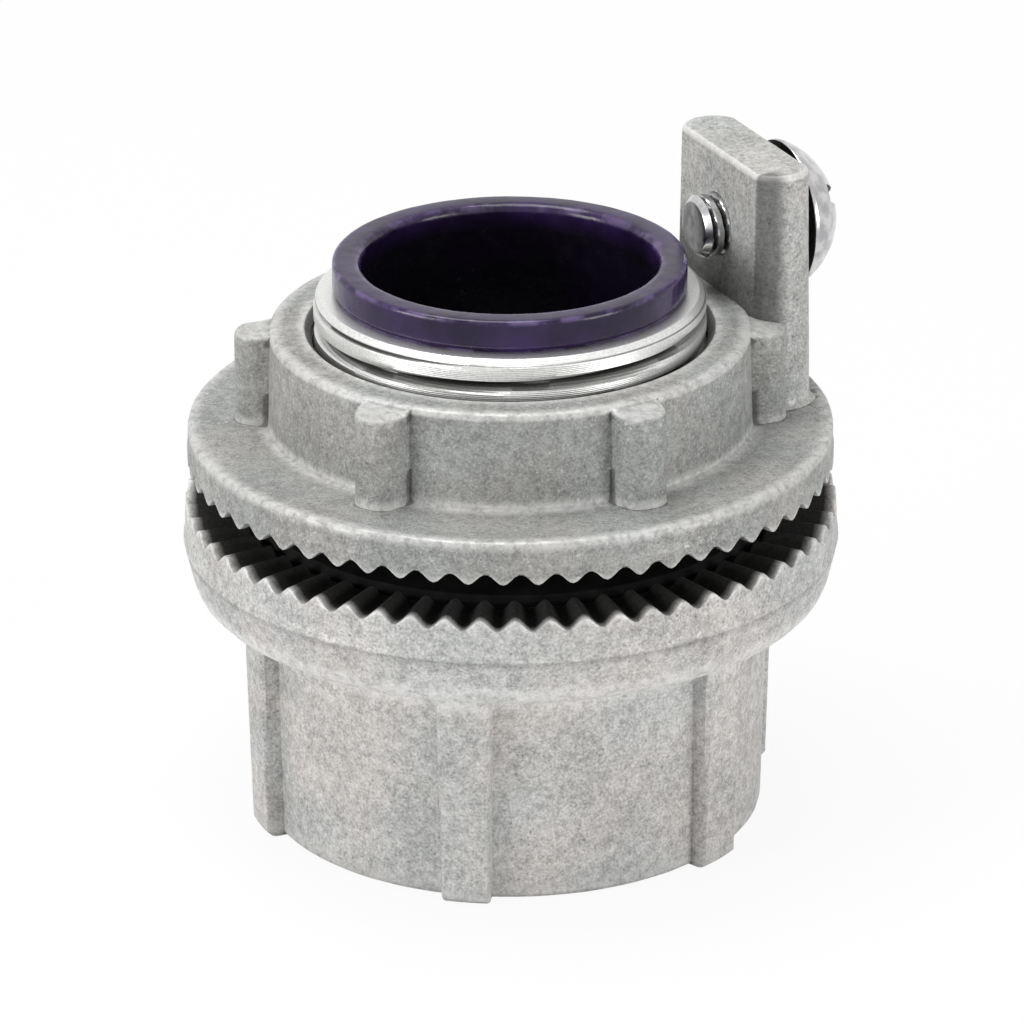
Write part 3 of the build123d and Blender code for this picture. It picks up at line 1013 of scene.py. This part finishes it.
post_colour = mix_colours(post_tree, top_edge_highlight, post_colour, (0.8, 0.79, 0.77, 1.0))
low_down = ramp_between(post_tree, height_up, nut_top + 6.0, nut_top + 16.0, 0.85, 0.0)
inner_side = ramp_between(post_tree, outwards, post_distance + 0.1, post_distance + 0.6, 1.0, 0.0)
beside_edge = ramp_between(post_tree, outwards, post_distance + 1.2, post_distance + 2.6, 1.0, 0.0)
near_end = ramp_between(post_tree, across, -post_width / 2 + 1.6, -post_width / 2 + 1.3, 0.0, 0.7)
near_end_shade = math_of(post_tree, "MULTIPLY", beside_edge, near_end)
shade = math_of(post_tree, "MAXIMUM", math_of(post_tree, "MULTIPLY", low_down, inner_side), near_end_shade)
post_colour = mix_colours(post_tree, shade, post_colour, (0.05, 0.05, 0.048, 1.0))
post_tree.links.new(post_colour, post_body.inputs["Base Color"])
post_mesh.transform(to_post)
post_piece = bpy.data.objects.new("post", post_mesh)
bpy.context.scene.collection.objects.link(post_piece)

# The drilled hole through the post, along the post's own X
drill_sides = 48
drill_overrun = 2.0
drill_ends = (post_distance - drill_overrun, post_distance + post_thickness + drill_overrun)
drill_points = []
for end in drill_ends:
    for side_number in range(drill_sides):
        around = 2 * math.pi * side_number / drill_sides
        across = screw_hole * math.cos(around)
        up = screw_axis_height + screw_hole * math.sin(around)
        drill_points.append((end * MM, across * MM, up * MM))
drill_faces = [tuple(reversed(range(drill_sides))), tuple(range(drill_sides, 2 * drill_sides))]
for side_number in range(drill_sides):
    following = (side_number + 1) % drill_sides
    drill_faces.append((side_number, following, drill_sides + following, drill_sides + side_number))
drill_mesh = bpy.data.meshes.new("drill")
drill_mesh.from_pydata(drill_points, [], drill_faces)
drill_mesh.transform(to_post)
drill = bpy.data.objects.new("drill", drill_mesh)
bpy.context.scene.collection.objects.link(drill)


def carve(piece, tool, operation):
    """Joins a tool to a piece or cuts it out, and leaves a plain mesh."""
    for mesh in (piece.data, tool.data):
        if volume_of(mesh) < 0:
            mesh.flip_normals()
    step = piece.modifiers.new("carve", "BOOLEAN")
    step.operation = operation
    step.solver = "EXACT"
    step.material_mode = "TRANSFER"
    step.object = tool
    settle(piece)
    bpy.data.objects.remove(tool)


carve(post_piece, drill, "DIFFERENCE")
carve(nut_turned, post_piece, "UNION")
mark_bends(nut_turned)
smooth(nut_turned, 38)
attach(nut_turned, "nut")
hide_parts("lock_nut")


# Ground screw: rolled steel with bright zinc plating, a domed head with a sawn slot.
# It stands in the post, not yet driven home.
screw_pitch = inch / 24
screw_radius = 2.72
screw_thread_depth = 0.55
screw_reach = 2.3
screw_gap = 1.1
head_radius = 6.35
head_height = 4.4
head_edge = 0.4
slot_width = 1.6
slot_depth = 2.0
slot_angle = math.radians(146.0)
shank = screw_reach + post_thickness + screw_gap
dome_radius = (head_radius ** 2 + (head_height - head_edge) ** 2) / (2 * (head_height - head_edge))
dome_centre = shank + head_height - dome_radius
rim_turn = math.asin(head_radius / dome_radius)


def on_dome(share):
    """Corner of the screw's outline on its domed head, from the rim (0) to the middle (1)."""
    turned_by = rim_turn * (1 - share)
    return (dome_radius * math.sin(turned_by), dome_centre + dome_radius * math.cos(turned_by), 0, 3.0)


screw_corners = [
    (0.01, 0.0, 0, 0.5),
    (screw_radius - 0.5, 0.0, 0.1, 0.3),
    (screw_radius, 0.5, 0, 0.1),
    (screw_radius, shank - 0.5, 0, 0.25),
    (screw_radius, shank, 0.1, 0.9),
    (head_radius, shank, 0.12, 0.3),
    (head_radius, shank + head_edge, 0.12, 0.5),
]
dome_rows = 14
screw_corners += [on_dome(step / dome_rows) for step in range(1, dome_rows)]
screw_corners.append((0.01, shank + head_height, 0, 3.0))
plating, plate_tree, plate_body, plate_place = new_material("screw_plating")
plate_body.inputs["Metallic"].default_value = 1.0
plate_haze = noise_of(plate_tree, plate_place, 700.0)
haze_share = ramp_between(plate_tree, plate_haze, 0.35, 0.65)
plate_dark = (0.4, 0.4, 0.41, 1.0)
plate_light = (0.62, 0.62, 0.62, 1.0)
plate_colour = mix_colours(plate_tree, haze_share, plate_dark, plate_light)
plate_painted_shade = mesh_mark(plate_tree, "painted_shade")
plate_colour = mix_colours(plate_tree, plate_painted_shade, plate_colour, (0.012, 0.012, 0.012, 1.0))
plate_tree.links.new(plate_colour, plate_body.inputs["Base Color"])
plate_shine = ramp_between(plate_tree, plate_haze, 0.3, 0.7, 0.26, 0.12)
plate_tree.links.new(plate_shine, plate_body.inputs["Roughness"])
plate_bump = add_node(plate_tree, "ShaderNodeBump")
plate_bump.inputs["Strength"].default_value = 0.2
plate_bump.inputs["Distance"].default_value = 0.0001
plate_tree.links.new(noise_of(plate_tree, plate_place, 900.0, 2.0), plate_bump.inputs["Height"])
plate_tree.links.new(plate_bump.outputs[0], plate_body.inputs["Normal"])

# The sawn slot's near-black colour is painted shade
sawn, sawn_tree, sawn_body, sawn_place = new_material("slot_painted_shade")
sawn_grain = noise_of(sawn_tree, sawn_place, 1500.0)
slot_shade_colour = mix_colours(sawn_tree, sawn_grain, (0.01, 0.01, 0.01, 1.0), (0.05, 0.05, 0.048, 1.0))
sawn_tree.links.new(slot_shade_colour, sawn_body.inputs["Base Color"])
sawn_body.inputs["Metallic"].default_value = 0.6
sawn_dull = ramp_between(sawn_tree, sawn_grain, 0.3, 0.7, 0.4, 0.6)
sawn_tree.links.new(sawn_dull, sawn_body.inputs["Roughness"])

# The screw is turned upright about Z, then laid along the post's own X with its tip towards the axis
lay_down = Matrix.Translation(((post_distance - screw_reach) * MM, 0.0, screw_axis_height * MM))
screw_place = to_post @ lay_down @ Matrix.Rotation(math.radians(90), 4, "Y")


def screw_thread(radius, height):
    on_shank = abs(radius - screw_radius) < on_wall and 0.5 < height < shank - 0.4
    return -1.0 if on_shank else 0.0


def screw_painted_shade(radius, height):
    """Painted shade under the head, and greyer on the tip."""
    if radius > screw_radius and shank - 0.1 < height < shank + 0.05:
        return 0.95
    return 0.55 if height < 0.02 else 0.0


screw_piece = turn(
    "ground_screw_dressed",
    screw_corners,
    {"thread": screw_thread, "painted_shade": screw_painted_shade},
    plating,
    place=screw_place,
    Columns=96,
    **{"Thread Pitch": screw_pitch * MM, "Thread Depth": screw_thread_depth * MM},
)
saw_mesh = bpy.data.meshes.new("saw")
saw_points = []
for x in (shank + head_height - slot_depth, shank + head_height + 1.0):
    for y in (-slot_width / 2, slot_width / 2):
        for z in (-head_radius - 1.0, head_radius + 1.0):
            saw_points.append((x * MM, y * MM, z * MM))
saw_faces = [(0, 1, 3, 2), (4, 6, 7, 5), (0, 4, 5, 1), (2, 3, 7, 6), (0, 2, 6, 4), (1, 5, 7, 3)]
saw_mesh.from_pydata(saw_points, [], saw_faces)
saw_mesh.materials.append(sawn)
saw_mesh.transform(to_post @ lay_down @ Matrix.Rotation(slot_angle - math.pi / 2, 4, "X"))
saw = bpy.data.objects.new("saw", saw_mesh)
bpy.context.scene.collection.objects.link(saw)
carve(screw_piece, saw, "DIFFERENCE")
smooth(screw_piece, 35)
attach(screw_piece, "screw")
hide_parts("ground_screw")
